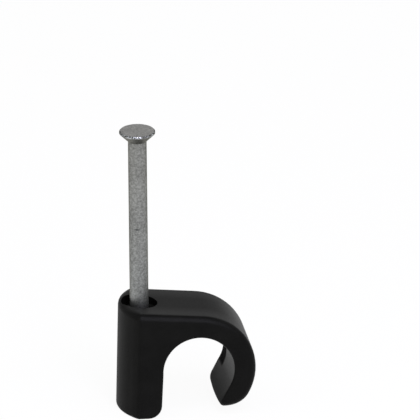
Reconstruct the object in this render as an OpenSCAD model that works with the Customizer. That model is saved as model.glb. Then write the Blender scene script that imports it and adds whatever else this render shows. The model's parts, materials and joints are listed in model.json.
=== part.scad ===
// Nail-in cable clip: a moulded plastic hook that holds one round cable to a wall,
// with the steel nail that fixes it already standing in its leg.
//
// Origin: where the nail's axis meets the wall that the leg stands on.
// +Z points away from the wall, +X from the leg to the hook, and Y runs along the cable.

/* [Cable seat] */
// Diameter of the round seat for the cable
seat_d = 7.66; // [6:0.02:9]
// Height of the cable's axis above the wall
seat_z = 5.25; // [4.8:0.05:6.5]
// Wall of the hook round the seat
hook_wall = 2.35; // [2.2:0.05:3]

/* [Clip] */
// Width of the clip along the cable
clip_w = 8.4; // [7:0.1:10]
// Radius of the long outer edges, from the leg over the top and round the hook
edge_r = 0.8; // [0.5:0.05:0.9]
// Radius of the other edges: those of the seat, the lip and the foot
rim_r = 0.3; // [0.1:0.05:0.4]
// Fall of the top from the leg to the hook, in degrees
top_fall = 5; // [3:0.25:8]

/* [Leg] */
// From the origin to the face beside the cable, at the height of the cable's axis
leg_in = 1.8; // [1.6:0.05:2.4]
// From the origin to the upright outer face
leg_out = 2.55; // [2.5:0.05:3]
// Lean of the face beside the cable, in degrees
entry_flare = 1.5; // [0.5:0.25:4]
// Radius of the outer face, seen from above
nose_r = 6.1; // [5.2:0.1:9]
// Radius of the two upright edges between the outer face and the flat sides
corner_r = 0.4; // [0.3:0.1:1.2]
// Radius of the foot's edge beside the cable
foot_r = 1.4; // [0.6:0.1:1.7]

/* [Hook tip] */
// Angle below the cable's axis at which the inside of the hook runs straight to the tip
lip_angle = 26; // [20:1:32]
// Angle below the cable's axis at which the outside of the hook starts to close in
tip_angle = 28.5; // [15:0.5:32]
// Radius of the closing outside
tip_r = 2.9; // [2.7:0.05:3.4]
// Radius of the tip itself
tip_round = 0.4; // [0.2:0.05:0.45]
// How far the tip stands out in the middle of its width
tip_crown = 0.25; // [0.1:0.05:0.4]

/* [Nail] */
// Diameter of the nail's shank
nail_d = 2; // [1.6:0.05:2.2]
// Length of the nail from the top of its head to its point
nail_len = 30; // [24:0.5:31]
// Height of the nail's head over the top of the clip, before it is driven in
nail_out = 19.7; // [10:0.1:20]
// Lean of the nail away from the hook, in degrees
nail_lean = 1.6; // [0:0.1:1.6]
// Diameter of the nail's head
head_d = 3.85; // [3.2:0.05:4.1]
// Height of the upright rim of the head
head_rim = 0.25; // [0.15:0.05:0.5]
// Bevel round the top of the head
head_bevel = 0.1; // [0.05:0.01:0.14]
// Length of the four-sided point
point_len = 2.6; // [1.5:0.1:4]

/* [Nail hole] */
// Gap all round between the shank and its hole
grip_gap = 0.02; // [0.01:0.01:0.1]
// Gap all round between the head and the mouth that it sinks into
mouth_gap = 0.02; // [0.02:0.01:0.1]
// Depth of the straight part of the mouth
mouth_depth = 1; // [0.6:0.1:2]

/* [Hidden] */
$fn = 96;

half_w = clip_w / 2;
seat_r = seat_d / 2;
hook_r = seat_r + hook_wall;
seat_c = [leg_in + seat_r, seat_z];
// Reach of a tool that cuts past a face
past = 1;
// The straight faces either side of the entry start this far inside the seat, which then cuts them
seat_bite = 0.02;

// Points are [x, z] pairs in the plane across the cable, and angles there start from +X towards +Z.
function along(angle, length) = length * [cos(angle), sin(angle)];
function arc(centre, radius, from, to, steps, first = 0) =
    [for (i = [first:steps]) centre + along(from + (to - from) * i / steps, radius)];

// Plan of the leg's outer face: one wide arc with a small arc at each end
nose_c = nose_r - leg_out;
corner_y = half_w - corner_r;
corner_x = nose_c - sqrt(pow(nose_r - corner_r, 2) - pow(corner_y, 2));
nose_half_angle = asin(corner_y / (nose_r - corner_r));

// The top falls in a straight line from the leg's outer face to the hook's arc
top_end_angle = 90 - top_fall;
top_end = seat_c + along(top_end_angle, hook_r);
function top_z(x) = top_end.y + (top_end.x - x) * tan(top_fall);

// The face beside the cable leaves the seat and runs down to the foot's round edge
function leg_touch(rim) = seat_c + along(180 - entry_flare, seat_r - seat_bite + rim);
foot_touch = leg_touch(0);
foot_c = [
    foot_touch.x - (foot_r - (foot_r - foot_touch.y) * sin(entry_flare)) / cos(entry_flare),
    foot_r
];

// The tip has a straight inside that leaves the seat, and an outside that closes in on it
tip_c = seat_c + along(-tip_angle, hook_r - tip_r);
function lip_start(rim) = seat_c + along(-lip_angle, seat_r - seat_bite + rim);
lip_down = along(-90 - lip_angle, 1);
lip_out = along(-lip_angle, 1);
// Centre of the tip's round end, where the outside and the inside are drawn in
function tip_end_c(inset, rim) =
    let (from = lip_start(rim) + tip_round * lip_out - tip_c)
    let (run = from * lip_down)
    let (reach = tip_r - inset - tip_round)
    tip_c + from + (sqrt(run * run - from * from + reach * reach) - run) * lip_down;

// The nail and its hole lie on one axis, and their heights are measured along it
nail_r = nail_d / 2;
head_r = head_d / 2;
head_cone = head_r - nail_r;
top_at_nail = top_z(0) / (cos(nail_lean) - sin(nail_lean) * tan(top_fall));
head_top = top_at_nail + nail_out;
point_z = head_top - nail_len;
hole_r = nail_r + grip_gap;
mouth_r = head_r + mouth_gap;

// Steps of each arc in an outline, and of the slices along the cable
base_steps = 4;
corner_steps = 6;
hook_steps = 22;
tip_steps = 9;
tip_fan_steps = 5;
end_steps = 6;
foot_steps = 6;
edge_steps = 8;
middle_steps = 12;

// The clip is lofted through slices along the cable, each [y, turn]:
// turn is how far the rounded outer edge has turned there, from 0 on the outside to 90 on a flat side.
edge_slices = [
    for (i = [0:edge_steps])
    let (turn = 90 * i / edge_steps)
    [half_w - edge_r + edge_r * sin(turn), turn]
];
slices = concat(
    [for (i = [edge_steps:-1:0]) [-edge_slices[i][0], edge_slices[i][1]]],
    [for (i = [1:middle_steps - 1]) [(half_w - edge_r) * (2 * i / middle_steps - 1), 0]],
    edge_slices
);

// How far the edges of the seat, lip and foot have turned at a slice, and how far they are drawn in there
function rim_turn(y) = asin(max(0, 1 - (half_w - abs(y)) / rim_r));
function rim_inset(y) = rim_r * (1 - cos(rim_turn(y)));

// Place of the leg's outer face in plan, drawn in by an inset
function face_x(y, inset) =
    let (side = abs(y))
    let (nose = nose_r - inset)
    side <= nose * sin(nose_half_angle)
        ? nose_c - sqrt(nose * nose - side * side)
        : corner_x - sqrt(max(0, pow(corner_r - inset, 2) - pow(side - corner_y, 2)));

// The outline at one slice, clockwise: up the leg, over the top, round the hook, in to the seat, down to the foot
function base_points(y) = [
    for (i = [0:base_steps])
    let (bend = rim_turn(y) + (90 - rim_turn(y)) * i / base_steps)
    [face_x(y, rim_r * (1 - sin(bend))), rim_r * (1 - cos(bend))]
];
function face_points(y, turn) = [
    for (i = [0:corner_steps])
    let (bend = 90 - (90 - turn) * i / corner_steps)
    let (x = face_x(y, edge_r * (1 - sin(bend))))
    [x, top_z(x) - edge_r * (1 - cos(bend))]
];
// The outside of the tip closes in further away from the middle of its width
function tip_points(inset, crown, rim) =
    let (end_c = tip_end_c(inset + crown, rim))
    let (end_angle = atan2(end_c.y - tip_c.y, end_c.x - tip_c.x))
    concat(
        [
            for (i = [1:tip_steps])
            let (t = i / tip_steps)
            let (radius = tip_r - inset - crown * t * t * (3 - 2 * t))
            tip_c + along(-tip_angle + (end_angle + tip_angle) * t, radius)
        ],
        arc(end_c, tip_round, end_angle, -180 - lip_angle, end_steps, 1)
    );
function slice_points(y, turn) =
    let (inset = edge_r * (1 - cos(turn)))
    let (rim = rim_inset(y))
    concat(
        base_points(y),
        face_points(y, turn),
        arc(seat_c, hook_r - inset, top_end_angle, -tip_angle, hook_steps),
        tip_points(inset, tip_crown * pow(y / half_w, 2), rim),
        [lip_start(rim), seat_c, leg_touch(rim)],
        arc(foot_c, foot_r - rim, -entry_flare, -90, foot_steps)
    );

// Places in an outline's list
top_start_i = base_steps + corner_steps + 2;
hook_end_i = top_start_i + hook_steps;
tip_fan_i = hook_end_i - tip_fan_steps;
lip_i = hook_end_i + tip_steps + end_steps + 1;
seat_i = lip_i + 1;
touch_i = seat_i + 1;
outline_n = touch_i + 2 + foot_steps;

function range(from, to) = [for (i = [from:to]) i];
// The same fan seen from behind, still spread from its first point
function mirrored(fan) = concat([fan[0]], [for (i = [len(fan) - 1:-1:1]) fan[i]]);

// A flat side, as three fans: the leg, the top with most of the hook, and the rest of the hook with its tip
side_fans = [
    concat(range(touch_i, outline_n - 1), range(0, top_start_i)),
    concat([seat_i, touch_i], range(top_start_i, tip_fan_i), [lip_i]),
    concat([lip_i], range(tip_fan_i, lip_i - 1))
];

// The clip without its seat and its nail hole
module clip_blank() {
    last = len(slices) - 1;
    points = [for (s = slices) for (p = slice_points(s[0], s[1])) [p.x, s[0], p.y]];
    skin = [
        for (j = [0:last - 1]) for (i = [0:outline_n - 1])
        let (a = j * outline_n + i)
        let (b = j * outline_n + (i + 1) % outline_n)
        each [[a, a + outline_n, b + outline_n], [a, b + outline_n, b]]
    ];
    far_fans = [for (fan = side_fans) [for (i = mirrored(fan)) i + last * outline_n]];
    polyhedron(points, concat(skin, side_fans, far_fans));
}

// The round seat with its rounded rims, which run on past the flat sides
module seat() {
    rim = [
        for (i = [0:edge_steps])
        let (y = edge_slices[i][0])
        if (i == edge_steps || rim_inset(edge_slices[i + 1][0]) > 0) [seat_r + rim_inset(y), y]
    ];
    outer = rim[len(rim) - 1] * 2 - rim[len(rim) - 2];
    half = concat(rim, [outer, [0, outer.y]]);
    translate([seat_c.x, 0, seat_c.y])
        rotate([90, 0, 0])
            rotate_extrude()
                polygon(concat([for (i = [len(half) - 1:-1:0]) [half[i].x, -half[i].y]], half));
}

// Puts what is drawn upright from the origin on the nail's leaning axis
module on_nail_axis() {
    rotate([0, -nail_lean, 0]) children();
}

// The hole for the nail: a mouth for its head, a cone under that and a close hole down to the wall
module nail_hole() {
    cone = mouth_r - hole_r;
    floor_z = top_at_nail - mouth_depth;
    on_nail_axis() {
        translate([0, 0, -past]) cylinder(r = hole_r, h = top_at_nail + past);
        translate([0, 0, floor_z - cone]) cylinder(r1 = hole_r, r2 = mouth_r, h = cone);
        translate([0, 0, floor_z]) cylinder(r = mouth_r, h = mouth_depth + past);
    }
}

module clip_body() {
    color([0.09, 0.09, 0.1])
    difference() {
        clip_blank();
        seat();
        nail_hole();
    }
}

// The four-sided point, as the crossing of two wedges
module point_wedge() {
    rotate([90, 0, 0])
        linear_extrude(2 * nail_d, center = true)
            polygon([
                [0, point_z],
                [nail_r, point_z + point_len],
                [nail_r, head_top],
                [-nail_r, head_top],
                [-nail_r, point_z + point_len]
            ]);
}

module nail() {
    color([0.62, 0.63, 0.64])
    on_nail_axis() {
        intersection() {
            translate([0, 0, point_z]) cylinder(r = nail_r, h = nail_len - head_rim);
            point_wedge();
            rotate(90) point_wedge();
        }
        rotate_extrude()
            polygon([
                [0, head_top],
                [head_r - head_bevel, head_top],
                [head_r, head_top - head_bevel],
                [head_r, head_top - head_rim],
                [nail_r, head_top - head_rim - head_cone],
                [0, head_top - head_rim - head_cone]
            ]);
    }
}

clip_body();
nail();
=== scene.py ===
"""Finishes, floor, light and camera for the nail-in cable clip."""
import json
import math

import bpy
from mathutils import Matrix, Vector


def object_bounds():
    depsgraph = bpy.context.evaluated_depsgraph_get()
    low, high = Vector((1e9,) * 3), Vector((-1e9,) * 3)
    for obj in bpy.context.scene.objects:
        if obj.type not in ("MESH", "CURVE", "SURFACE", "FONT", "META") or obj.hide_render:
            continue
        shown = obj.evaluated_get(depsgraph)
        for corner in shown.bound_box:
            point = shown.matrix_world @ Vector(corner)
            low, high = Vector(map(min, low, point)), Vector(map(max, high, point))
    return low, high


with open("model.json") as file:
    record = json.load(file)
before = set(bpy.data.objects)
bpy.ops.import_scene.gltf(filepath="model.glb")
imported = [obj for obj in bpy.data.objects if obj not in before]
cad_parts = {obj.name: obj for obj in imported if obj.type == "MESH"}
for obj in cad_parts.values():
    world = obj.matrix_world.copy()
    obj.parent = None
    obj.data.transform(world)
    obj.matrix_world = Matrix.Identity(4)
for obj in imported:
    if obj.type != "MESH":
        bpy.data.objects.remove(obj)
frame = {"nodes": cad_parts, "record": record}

cad_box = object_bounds()
scene = bpy.context.scene
mounts = {mount["name"]: mount for mount in frame["record"]["mounts"]}
MM = 0.001
# Between these values lies most of what a noise gives
NOISE_LOW = 0.3
NOISE_HIGH = 0.7

# The photograph's view, with its angles in degrees: a far camera, so the picture has no perspective
PICTURE_PX = 420
PX_PER_MM = 9.389
ORIGIN_PX = (140.387, 404.899)
VIEW_AZIMUTH = -9.16
VIEW_ELEVATION = 22.46
VIEW_ROLL = 1.03
CAMERA_DISTANCE = 400 * MM


# Node trees

class Nodes:
    """A node tree with short calls for adding nodes and links."""

    def __init__(self, tree):
        self.tree = tree
        tree.nodes.clear()

    def put(self, value, socket):
        """Links another node's output to a socket, or sets a plain value on it."""
        if isinstance(value, bpy.types.NodeSocket):
            self.tree.links.new(value, socket)
        else:
            socket.default_value = value

    def add(self, kind, inputs=None, **settings):
        node = self.tree.nodes.new(kind)
        for name, value in settings.items():
            setattr(node, name, value)
        for name, value in (inputs or {}).items():
            self.put(value, node.inputs[name])
        return node

    def math(self, operation, *values):
        return self.add("ShaderNodeMath", dict(enumerate(values)), operation=operation).outputs[0]

    def product(self, first, *others):
        for other in others:
            first = self.math("MULTIPLY", first, other)
        return first

    def vector(self, operation, first, second):
        inputs = {0: first, 1: second}
        return self.add("ShaderNodeVectorMath", inputs, operation=operation).outputs["Vector"]

    def dot(self, first, second):
        inputs = {0: first, 1: second}
        return self.add("ShaderNodeVectorMath", inputs, operation="DOT_PRODUCT").outputs["Value"]

    def length(self, vector):
        return self.add("ShaderNodeVectorMath", {0: vector}, operation="LENGTH").outputs["Value"]

    def axes(self, vector):
        """The X, Y and Z of a vector."""
        return self.add("ShaderNodeSeparateXYZ", {"Vector": vector}).outputs

    def mix(self, share, first, second):
        """A colour between two others."""
        node = self.add("ShaderNodeMix", data_type="RGBA")
        sockets = {socket.name: socket for socket in node.inputs if socket.enabled}
        for name, value in {"Factor": share, "A": first, "B": second}.items():
            self.put(value, sockets[name])
        return next(socket for socket in node.outputs if socket.enabled)

    def noise(self, place, size, detail=2.0, roughness=0.5):
        """Noise whose patches are about as large as size, in metres."""
        inputs = {"Vector": place, "Scale": 1 / size, "Detail": detail, "Roughness": roughness}
        return self.add("ShaderNodeTexNoise", inputs).outputs["Fac"]

    def spread(self, value, low, high, start=NOISE_LOW, end=NOISE_HIGH):
        """Low before the start, high past the end, and a straight line between them."""
        inputs = {"Value": value, "From Min": start, "From Max": end, "To Min": low, "To Max": high}
        return self.add("ShaderNodeMapRange", inputs).outputs["Result"]

    def rise(self, value, start, end):
        """0 before the start, rising to 1 at the end."""
        return self.spread(value, 0.0, 1.0, start, end)

    def fall(self, value, start, end):
        """1 before the start, falling to 0 at the end."""
        return self.spread(value, 1.0, 0.0, start, end)

    def bump(self, height, strength, depth):
        inputs = {"Height": height, "Strength": strength, "Distance": depth}
        return self.add("ShaderNodeBump", inputs).outputs["Normal"]

    def ramp(self, value, stops):
        """A colour ramp through stops of (place, colour)."""
        node = self.add("ShaderNodeValToRGB", {"Fac": value})
        elements = node.color_ramp.elements
        while len(elements) < len(stops):
            elements.new(0.5)
        for element, (place, colour) in zip(elements, stops):
            element.position = place
            element.color = (*colour, 1)
        return node.outputs["Color"]


def grey(level):
    return (level, level, level)


def new_material(name):
    material = bpy.data.materials.new(name)
    material.use_nodes = True
    return material, Nodes(material.node_tree)


# Black plastic of the clip

# Two near blacks, each with the noise at which it shows
PLASTIC_COLOURS = [(0.35, (0.0037, 0.0037, 0.0034)), (0.65, (0.0050, 0.0050, 0.0046))]
PLASTIC_SPECULAR = 0.052
PLASTIC_ROUGHNESS = (0.34, 0.46)
PLASTIC_CLOUD = {"size": 2.2 * MM, "detail": 3}
GRAIN = {"size": 0.12 * MM, "detail": 3, "roughness": 0.6}
GRAIN_DEPTH = 0.008 * MM
GRAIN_STRENGTH = 0.2

# In the zones below, a pair of values gives the two ends between which a zone fades out

# Where a painted highlight makes the clip's top lighter along its two edges: how far from its middle,
# how far its normal may lean to the side, and how far up it has to point
EDGE_HIGHLIGHT_FROM_MIDDLE = (1.2 * MM, 2.8 * MM)
EDGE_HIGHLIGHT_LEAN = (0.12, 0.35)
EDGE_HIGHLIGHT_UPWARD = (0.4, 0.97)
EDGE_HIGHLIGHT_COLOUR = (0.0168, 0.0168, 0.0156)

# Painted shade at the far end of the cable seat, which is also made duller there: where it starts along the
# cable, where it ends above the tip, and how far outside the seat's radius a face may lie
SEAT_END_FROM = (1.6 * MM, 1.9 * MM)
SEAT_END_ABOVE = (3.3 * MM, 3.6 * MM)
SEAT_END_SKIN = (0.05 * MM, 0.15 * MM)
SEAT_END_SHADE_COLOUR = grey(0.0018)
SEAT_END_DULLNESS = 0.55

# The inside of the tip grows duller downwards
TIP_HEIGHTS = (1.8 * MM, 3.9 * MM)
TIP_DULLNESS = 0.2

# The leg's outer face is a little dull: where it lies along X
LEG_FACE = (-1.8 * MM, -1.4 * MM)
LEG_DULLNESS = 0.1

# What a face that points to the left has as the X of its normal
LEFTWARD = (-0.7, -0.3)


def surface_normal(nodes):
    """The X, Y and Z of the surface's normal."""
    return nodes.axes(nodes.add("ShaderNodeNewGeometry").outputs["Normal"])


def faces_left(nodes):
    """1 on faces that point to the left, and 0 elsewhere."""
    return nodes.fall(surface_normal(nodes)["X"], *LEFTWARD)


def painted_edge_highlights(nodes, place):
    """1 along the two edges of the clip's top, where a highlight is painted, and 0 elsewhere."""
    normal = surface_normal(nodes)
    near_edge = nodes.rise(nodes.math("ABSOLUTE", nodes.axes(place)["Y"]), *EDGE_HIGHLIGHT_FROM_MIDDLE)
    off_side = nodes.fall(nodes.math("ABSOLUTE", normal["Y"]), *EDGE_HIGHLIGHT_LEAN)
    upward = nodes.rise(normal["Z"], *EDGE_HIGHLIGHT_UPWARD)
    return nodes.product(near_edge, off_side, upward)


def painted_shade_at_seat_end(nodes, place):
    """1 in the far end of the cable seat, where shade is painted, and 0 elsewhere."""
    seat = mounts["cable_seat"]
    seat_r = seat["dims"]["r_mm"] * MM
    offset = nodes.vector("SUBTRACT", place, seat["pos_m"])
    from_axis = nodes.length(nodes.vector("MULTIPLY", offset, (1, 0, 1)))
    on_seat = nodes.fall(from_axis, seat_r + SEAT_END_SKIN[0], seat_r + SEAT_END_SKIN[1])
    far = nodes.rise(nodes.axes(place)["Y"], *SEAT_END_FROM)
    above = nodes.rise(nodes.axes(place)["Z"], *SEAT_END_ABOVE)
    return nodes.product(on_seat, far, above)


def tip_inside(nodes, place):
    """A share that grows to 1 down the inside of the hook's tip, and is 0 elsewhere."""
    beyond_axis = nodes.math("GREATER_THAN", nodes.axes(place)["X"], mounts["cable_seat"]["pos_m"][0])
    low = nodes.fall(nodes.axes(place)["Z"], *TIP_HEIGHTS)
    return nodes.product(faces_left(nodes), beyond_axis, low)


def leg_face(nodes, place):
    """1 on the leg's outer face, and 0 elsewhere."""
    outside = nodes.fall(nodes.axes(place)["X"], *LEG_FACE)
    return nodes.product(faces_left(nodes), outside)


def black_plastic():
    """Satin black moulded plastic with a fine grain, a painted highlight along the top's edges and painted
    shade at the far end of the seat.
    """
    material, nodes = new_material("black_plastic")
    place = nodes.add("ShaderNodeTexCoord").outputs["Object"]
    cloud = nodes.noise(place, **PLASTIC_CLOUD)
    grain = nodes.noise(place, **GRAIN)
    seat_shade_share = painted_shade_at_seat_end(nodes, place)

    plain = nodes.ramp(cloud, PLASTIC_COLOURS)
    # Painted highlight: a lighter colour along the two edges of the top
    highlighted = nodes.mix(painted_edge_highlights(nodes, place), plain, (*EDGE_HIGHLIGHT_COLOUR, 1))
    # Painted shade: a darker colour at the far end of the cable seat
    colour = nodes.mix(seat_shade_share, highlighted, (*SEAT_END_SHADE_COLOUR, 1))

    roughness = nodes.spread(grain, *PLASTIC_ROUGHNESS)
    roughness = nodes.math("MULTIPLY_ADD", seat_shade_share, SEAT_END_DULLNESS, roughness)
    roughness = nodes.math("MULTIPLY_ADD", tip_inside(nodes, place), TIP_DULLNESS, roughness)
    roughness = nodes.math("MULTIPLY_ADD", leg_face(nodes, place), LEG_DULLNESS, roughness)

    bump = nodes.bump(grain, GRAIN_STRENGTH, GRAIN_DEPTH)
    shader = nodes.add("ShaderNodeBsdfPrincipled", {
        "Base Color": colour,
        "Roughness": roughness,
        "Normal": bump,
        "Specular IOR Level": PLASTIC_SPECULAR,
    })
    nodes.add("ShaderNodeOutputMaterial", {"Surface": shader.outputs["BSDF"]})
    return material


# Zinc-plated steel of the nail

# Three greys each, with the noise at which they show: cool low on the shank, warm high on it,
# and lighter on the head's top, as painted light that makes up for how dark the top renders
COOL_PLATING = [(0.36, (0.163, 0.167, 0.165)), (0.50, (0.259, 0.266, 0.261)), (0.64, (0.368, 0.377, 0.373))]
WARM_PLATING = [(0.36, (0.151, 0.152, 0.146)), (0.50, (0.239, 0.241, 0.231)), (0.64, (0.340, 0.343, 0.330))]
HEAD_TOP_PAINTED_LIGHT_GREYS = [(0.34, (0.310, 0.310, 0.305)), (0.50, (0.425, 0.425, 0.420)), (0.66, (0.552, 0.552, 0.544))]
# Heights along the nail between which its plating turns from cool to warm
TINT_HEIGHTS = (14 * MM, 27 * MM)
# Depths below the top of the head between which its painted light ends
HEAD_DEPTHS = (0.1 * MM, 0.25 * MM)
# Share of the plating's colour that is left where it is seen at a slant
EDGE_TINT = (0.42, 0.41, 0.36)
# Roughness where the mottle is dark, and where it is light
STEEL_ROUGHNESS = (0.50, 0.36)

CLOUD = {"size": 1.6 * MM}
CLOUD_SHARE = 0.2
MOTTLE = {"size": 0.24 * MM, "detail": 4, "roughness": 0.7}
MOTTLE_SHARE = 0.8
MOTTLE_DEPTH = 0.03 * MM
MOTTLE_STRENGTH = 0.35

# Small dark pits: their noise, the part of it that makes them, and how much they darken
PITS = {"size": 0.35 * MM}
PIT_NOISE = (0.66, 0.76)
PIT_SHARE = 0.6
PIT_COLOUR = (0.12, 0.12, 0.115)

# The one dark nick in the shank: its place, its reach along each axis, and the shares of that
# between which it fades
NICK_PLACE = (-0.87 * MM, -0.95 * MM, 20.6 * MM)
NICK_REACH = (0.36 * MM, 0.36 * MM, 0.15 * MM)
NICK_FADE = (0.3, 1.0)
NICK_COLOUR = (0.07, 0.073, 0.073)

# The head's worn rim: its depths below the top, its distances in from the edge, and its bright specks
RIM_DEPTHS = (0.16 * MM, 0.24 * MM)
RIM_INSETS = (0.10 * MM, 0.16 * MM)
SPECKS = {"size": 0.16 * MM, "detail": 1}
SPECK_NOISE = (0.50, 0.56)
SPECK_COLOUR = (0.48, 0.50, 0.52)
SPECK_POLISH = 0.12
RIM_COLOUR = (0.09, 0.09, 0.085)


def nick(nodes, place):
    """1 in the middle of the nick, falling to 0 at its edge."""
    offset = nodes.vector("SUBTRACT", place, NICK_PLACE)
    return nodes.fall(nodes.length(nodes.vector("DIVIDE", offset, NICK_REACH)), *NICK_FADE)


def zinc_steel(solid):
    """Dull zinc plating: a fine mottle over wider clouds, dark pits, a worn rim round the head, and painted
    light on the head's top.
    """
    axis = -Vector(mounts["nail_point"]["axis"])
    heights = [vertex.co.dot(axis) for vertex in solid.data.vertices]
    head_top = max(heights)
    head_r = max((vertex.co - axis * height).length for vertex, height in zip(solid.data.vertices, heights))

    material, nodes = new_material("zinc_steel")
    place = nodes.add("ShaderNodeTexCoord").outputs["Object"]
    height = nodes.dot(place, axis)
    depth = nodes.math("SUBTRACT", head_top, height)
    on_axis = nodes.add("ShaderNodeVectorMath", {0: axis, "Scale": height}, operation="SCALE")
    radius = nodes.length(nodes.vector("SUBTRACT", place, on_axis.outputs["Vector"]))
    inset = nodes.math("SUBTRACT", head_r, radius)

    cloud = nodes.noise(place, **CLOUD)
    mottle = nodes.noise(place, **MOTTLE)
    pits = nodes.spread(nodes.noise(place, **PITS), 0.0, PIT_SHARE, *PIT_NOISE)
    mixed = nodes.math("MULTIPLY_ADD", cloud, CLOUD_SHARE, nodes.math("MULTIPLY", mottle, MOTTLE_SHARE))
    cool = nodes.ramp(mixed, COOL_PLATING)
    warm = nodes.ramp(mixed, WARM_PLATING)
    lit_head = nodes.ramp(mixed, HEAD_TOP_PAINTED_LIGHT_GREYS)
    shank = nodes.mix(nodes.rise(height, *TINT_HEIGHTS), cool, warm)
    # Painted light: the head's top takes lighter greys than the shank
    plating = nodes.mix(nodes.fall(depth, *HEAD_DEPTHS), shank, lit_head)
    pitted = nodes.mix(pits, plating, (*PIT_COLOUR, 1))
    nicked = nodes.mix(nick(nodes, place), pitted, (*NICK_COLOUR, 1))

    on_rim = nodes.product(nodes.fall(depth, *RIM_DEPTHS), nodes.fall(inset, *RIM_INSETS))
    specks = nodes.rise(nodes.noise(place, **SPECKS), *SPECK_NOISE)
    rim = nodes.mix(specks, (*RIM_COLOUR, 1), (*SPECK_COLOUR, 1))
    polished = nodes.product(on_rim, specks)
    roughness = nodes.spread(mottle, *STEEL_ROUGHNESS)

    bump = nodes.bump(mottle, MOTTLE_STRENGTH, MOTTLE_DEPTH)
    shader = nodes.add("ShaderNodeBsdfPrincipled", {
        "Base Color": nodes.mix(on_rim, nicked, rim),
        "Roughness": nodes.math("MULTIPLY_ADD", polished, -SPECK_POLISH, roughness),
        "Normal": bump,
        "Metallic": 1.0,
        "Specular Tint": (*EDGE_TINT, 1),
    })
    nodes.add("ShaderNodeOutputMaterial", {"Surface": shader.outputs["BSDF"]})
    return material


# Smooth shading of the solids

WELD = 0.001 * MM
CREASE = math.radians(33)


def smooth_group():
    """Joins the faces of a solid, shades them smooth and keeps creases sharp."""
    group = bpy.data.node_groups.new("smooth_solid", "GeometryNodeTree")
    group.interface.new_socket("Geometry", in_out="INPUT", socket_type="NodeSocketGeometry")
    group.interface.new_socket("Geometry", in_out="OUTPUT", socket_type="NodeSocketGeometry")
    nodes = Nodes(group)
    start = nodes.add("NodeGroupInput").outputs["Geometry"]
    bare = nodes.add("GeometryNodeRemoveAttribute", {"Geometry": start, "Name": "custom_normal"})
    welded = nodes.add(
        "GeometryNodeMergeByDistance",
        {"Geometry": bare.outputs["Geometry"], "Distance": WELD},
    )
    smooth = nodes.add(
        "GeometryNodeSetShadeSmooth",
        {"Geometry": welded.outputs["Geometry"], "Shade Smooth": True},
    )
    angle = nodes.add("GeometryNodeInputMeshEdgeAngle").outputs["Unsigned Angle"]
    creases = nodes.math("GREATER_THAN", angle, CREASE)
    sharp = nodes.add(
        "GeometryNodeSetShadeSmooth",
        {"Geometry": smooth.outputs["Geometry"], "Selection": creases, "Shade Smooth": False},
        domain="EDGE",
    )
    nodes.add("NodeGroupOutput", {"Geometry": sharp.outputs["Geometry"]})
    return group


def finish_node(name, material, group):
    """Gives a solid its material and smooth shading."""
    solid = frame["nodes"][name]
    solid.data.materials.clear()
    solid.data.materials.append(material)
    solid.modifiers.new("smooth", "NODES").node_group = group
    weighted = solid.modifiers.new("weighted_normals", "WEIGHTED_NORMAL")
    weighted.keep_sharp = True


# Floor, light and camera

FLOOR_REACH = 3.0
FLOOR_COLOUR = grey(0.9)
# The floor's own white as the view sees it, and its share over the matt floor with the shadow
FLOOR_GLOW = 1.0
FLOOR_GLOW_SHARE = 0.94

# How bright the sky is by the height of a direction: a thin white horizon, a bright ring, a dim ceiling
SKY = [(0.0, 0.95), (0.03, 0.35), (0.3, 0.58), (0.6, 0.95), (0.75, 0.35), (1.0, 0.26)]

# Light panels: azimuth and elevation in degrees, width and height in metres, radiance and colour
COOL_LIGHT = (0.96, 0.95, 1.12)
WARM_LIGHT = (1.0, 0.99, 0.96)
PANEL_DISTANCE = 0.40
PANELS = {
    "front_panel": (12, 44, 0.10, 0.42, 7.2, COOL_LIGHT),
    "top_panel": (4, 68, 0.40, 0.08, 2.6, COOL_LIGHT),
    "right_panel": (42, 33, 0.20, 0.10, 3.6, COOL_LIGHT),
    "left_panel": (-60, 25, 0.20, 0.30, 1.7, WARM_LIGHT),
}


def seen_directly(nodes):
    """1 on rays from the camera, off a mirror or through glass, and 0 on the rest."""
    path = nodes.add("ShaderNodeLightPath").outputs
    sharp = nodes.math("MAXIMUM", path["Is Glossy Ray"], path["Is Transmission Ray"])
    return nodes.math("MAXIMUM", path["Is Camera Ray"], sharp)


def white_floor():
    """A matt floor that takes the shadow, under a share of plain white where it is seen directly."""
    material, nodes = new_material("white_floor")
    matt = nodes.add("ShaderNodeBsdfDiffuse", {"Color": (*FLOOR_COLOUR, 1)}).outputs["BSDF"]
    white = {"Color": (1, 1, 1, 1), "Strength": FLOOR_GLOW}
    glow = nodes.add("ShaderNodeEmission", white).outputs["Emission"]
    share = nodes.math("MULTIPLY", seen_directly(nodes), FLOOR_GLOW_SHARE)
    mixed = nodes.add("ShaderNodeMixShader", {0: share, 1: matt, 2: glow})
    nodes.add("ShaderNodeOutputMaterial", {"Surface": mixed.outputs["Shader"]})
    return material


def add_floor(height):
    bpy.ops.mesh.primitive_plane_add(size=2 * FLOOR_REACH, location=(0, 0, height))
    floor = bpy.context.object
    floor.name = "floor"
    floor.data.materials.append(white_floor())


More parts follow.
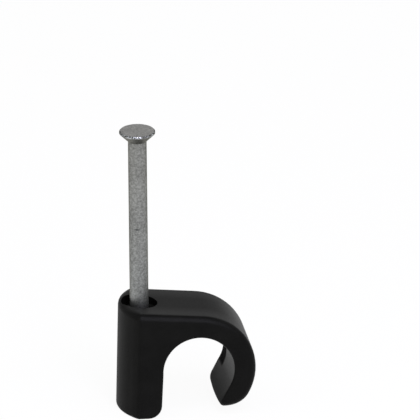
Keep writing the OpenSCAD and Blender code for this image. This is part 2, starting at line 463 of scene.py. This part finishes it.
def add_world():
    """A grey sky that lights from all sides."""
    world = bpy.data.worlds.new("studio")
    scene.world = world
    world.use_nodes = True
    nodes = Nodes(world.node_tree)
    way = nodes.add("ShaderNodeTexCoord").outputs["Generated"]
    colour = nodes.ramp(nodes.axes(way)["Z"], [(height, grey(level)) for height, level in SKY])
    light = nodes.add("ShaderNodeBackground", {"Color": colour, "Strength": 1.0})
    nodes.add("ShaderNodeOutputWorld", {"Surface": light.outputs["Background"]})


def way_to(azimuth, elevation):
    """The direction to a place round the object, in degrees: azimuth 0 is in front, and 90 on the right."""
    a = math.radians(azimuth)
    e = math.radians(elevation)
    return Vector((math.sin(a) * math.cos(e), -math.cos(a) * math.cos(e), math.sin(e)))


def add_panel(name, azimuth, elevation, width, height, radiance, colour, aim):
    """A soft light panel that faces the aim, with its brightness given as radiance."""
    light = bpy.data.lights.new(name, "AREA")
    light.color = colour
    light.shape = "RECTANGLE"
    light.size = width
    light.size_y = height
    light.energy = radiance * math.pi * width * height
    panel = bpy.data.objects.new(name, light)
    scene.collection.objects.link(panel)
    back = way_to(azimuth, elevation)
    panel.location = aim + back * PANEL_DISTANCE
    panel.rotation_euler = back.to_track_quat("Z", "Y").to_euler()


def add_camera():
    """The photograph's camera: its scale, its place of the origin, and its slight roll."""
    back = way_to(VIEW_AZIMUTH, VIEW_ELEVATION)
    roll = Matrix.Rotation(math.radians(VIEW_ROLL), 3, "Z")
    turn = back.to_track_quat("Z", "Y").to_matrix() @ roll
    right, up = turn.col[0], turn.col[1]
    middle = PICTURE_PX / 2
    across = (middle - ORIGIN_PX[0]) / PX_PER_MM * MM
    above = (ORIGIN_PX[1] - middle) / PX_PER_MM * MM
    place = right * across + up * above + back * CAMERA_DISTANCE
    data = bpy.data.cameras.new("camera")
    data.type = "ORTHO"
    data.ortho_scale = PICTURE_PX / PX_PER_MM * MM
    camera = bpy.data.objects.new("camera", data)
    scene.collection.objects.link(camera)
    camera.matrix_world = Matrix.Translation(place) @ turn.to_4x4()
    scene.camera = camera


group = smooth_group()
finish_node("clip_body", black_plastic(), group)
finish_node("nail", zinc_steel(frame["nodes"]["nail"]), group)

middle = (cad_box[0] + cad_box[1]) / 2
add_floor(cad_box[0].z)
add_world()
for name, settings in PANELS.items():
    add_panel(name, *settings, middle)
add_camera()

scene.view_settings.view_transform = "Standard"
